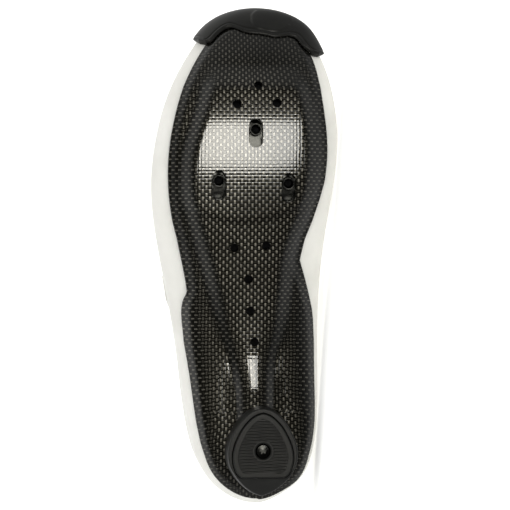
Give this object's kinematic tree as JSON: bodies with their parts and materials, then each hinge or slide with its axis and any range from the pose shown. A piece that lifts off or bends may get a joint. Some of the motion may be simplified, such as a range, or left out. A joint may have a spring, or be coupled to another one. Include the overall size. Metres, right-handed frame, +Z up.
{
  "type": "cycling shoe",
  "caption": "Right road cycling shoe lying on its inner side: white upper with hook-and-loop straps, glossy carbon sole with cleat slots, vents, toe bumper and screwed heel pad.",
  "frame": {"origin": "centre of the bounding box on the floor; the shoe lies on its inner side, with sole edge side and upper both on the floor", "axes": "+X along the shoe to the toe, -Y is where the sole faces, +Z up to the shoe's outer side"},
  "size_m": [0.2636, 0.105, 0.0969],
  "materials": {
    "white_synthetic": "smooth off-white synthetic leather, satin",
    "carbon": "woven carbon fibre under a glossy clear coat",
    "rubber": "matte charcoal rubber",
    "steel": "black-coated steel",
    "lining": "black knitted lining"
  },
  "bodies": {
    "root": {"upper": "white_synthetic", "tongue": "white_synthetic", "strap_front": "white_synthetic", "strap_middle": "white_synthetic", "strap_top": "white_synthetic", "outsole": "carbon", "toe_bumper": "rubber", "heel_base": "rubber", "heel_pad": "rubber", "insole": "lining", "heel_screw": "steel", "cleat_nut_front": "steel", "cleat_nut_rear_lateral": "steel", "cleat_nut_rear_medial": "steel"}
  },
  "joints": []
}
